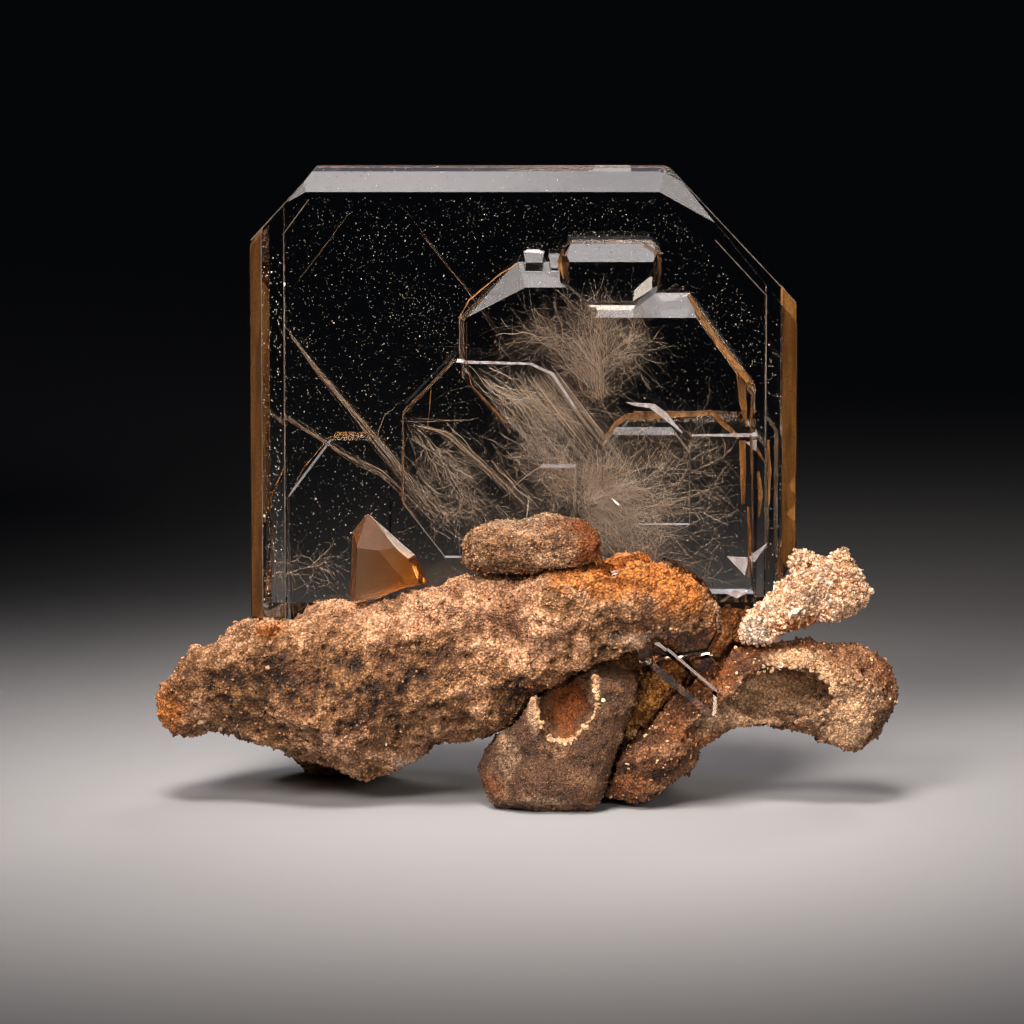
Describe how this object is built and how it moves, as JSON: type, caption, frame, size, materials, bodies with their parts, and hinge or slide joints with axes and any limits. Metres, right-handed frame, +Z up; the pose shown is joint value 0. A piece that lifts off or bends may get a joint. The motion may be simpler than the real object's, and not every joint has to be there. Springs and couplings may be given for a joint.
{
  "type": "mineral specimen",
  "caption": "Clear tabular barite crystal standing on sandy-coated barite blades, with a hollow drusy shell and small clear crystals at the right.",
  "frame": {"origin": "bottom centre of the specimen's bounding box", "axes": "+X to the right along the wide faces of the clear plate, +Y from its front face to its back, +Z up"},
  "size_m": [0.0738, 0.0308, 0.0631],
  "materials": {
    "clear_barite": "natural crystal faces, clear, with tan fibrous inclusions and amber films along the side faces",
    "honey_barite": "translucent honey-coloured crystal",
    "sandy_coating": "rough, fine sandy crust",
    "brown_coating": "rough orange-brown crust",
    "grey_coating": "fine sugary grey-brown crust with sparkling rims",
    "cream_druse": "sparkling cream crust of small crystals"
  },
  "bodies": {
    "root": {"main_plate_crystal": "clear_barite", "curved_clear_blade": "clear_barite", "clear_prism": "clear_barite", "gap_clear_plate": "clear_barite", "upright_splinter": "clear_barite", "flat_splinter": "clear_barite", "honey_stub_crystal": "honey_barite", "long_coated_blade": "sandy_coating", "matrix_core": "brown_coating", "perched_coated_block": "brown_coating", "coated_rib": "brown_coating", "broken_hollow_blade": "grey_coating", "drusy_shell_blade": "grey_coating", "cream_druse": "cream_druse"}
  },
  "joints": []
}
